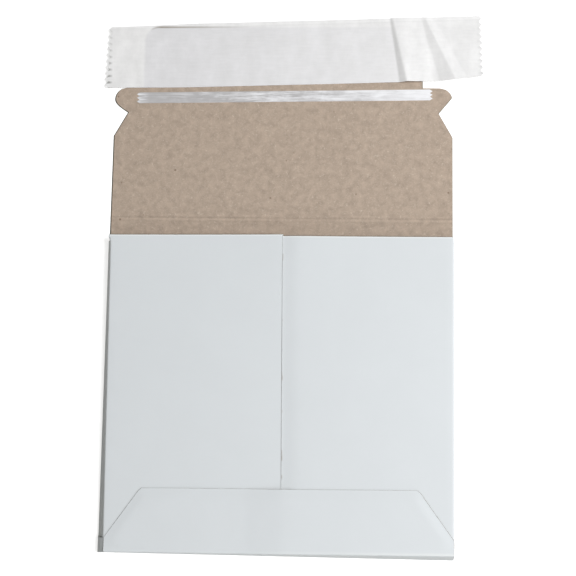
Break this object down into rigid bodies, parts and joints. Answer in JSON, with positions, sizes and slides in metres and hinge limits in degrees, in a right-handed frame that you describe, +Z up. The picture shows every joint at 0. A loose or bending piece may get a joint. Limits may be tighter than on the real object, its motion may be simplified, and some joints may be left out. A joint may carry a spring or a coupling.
{
  "type": "rigid photo mailer",
  "caption": "Small flat rigid mailer of white kraft-backed paperboard, seam side up, closing flap opened out, with an exposed adhesive strip and a loose release liner over the tab.",
  "frame": {"origin": "Middle of the address face, which lies on the table.", "axes": "+X along the crease to the right seen from above, +Y from the bottom fold to the opened closing flap, +Z up out of the seam side."},
  "size_m": [0.1706, 0.2399, 0.0069],
  "materials": {
    "white_board": "clay-coated white paperboard, matte",
    "kraft_face": "uncoated recycled kraft face with fine fibres",
    "adhesive": "glossy pressure-sensitive adhesive",
    "liner_paper": "thin coated white release paper, faint sheen"
  },
  "bodies": {
    "pocket_body": {"pocket": "white_board"},
    "flap_body": {"closing_flap": "kraft_face", "adhesive_strip": "adhesive", "release_liner": "liner_paper"}
  },
  "joints": [
    {"name": "flap_fold", "type": "hinge", "parent": "pocket_body", "child": "flap_body", "pos_m": [0, 0.07325, 0.0037], "axis": [1, 0, 0], "range_deg": [0, 177]}
  ]
}
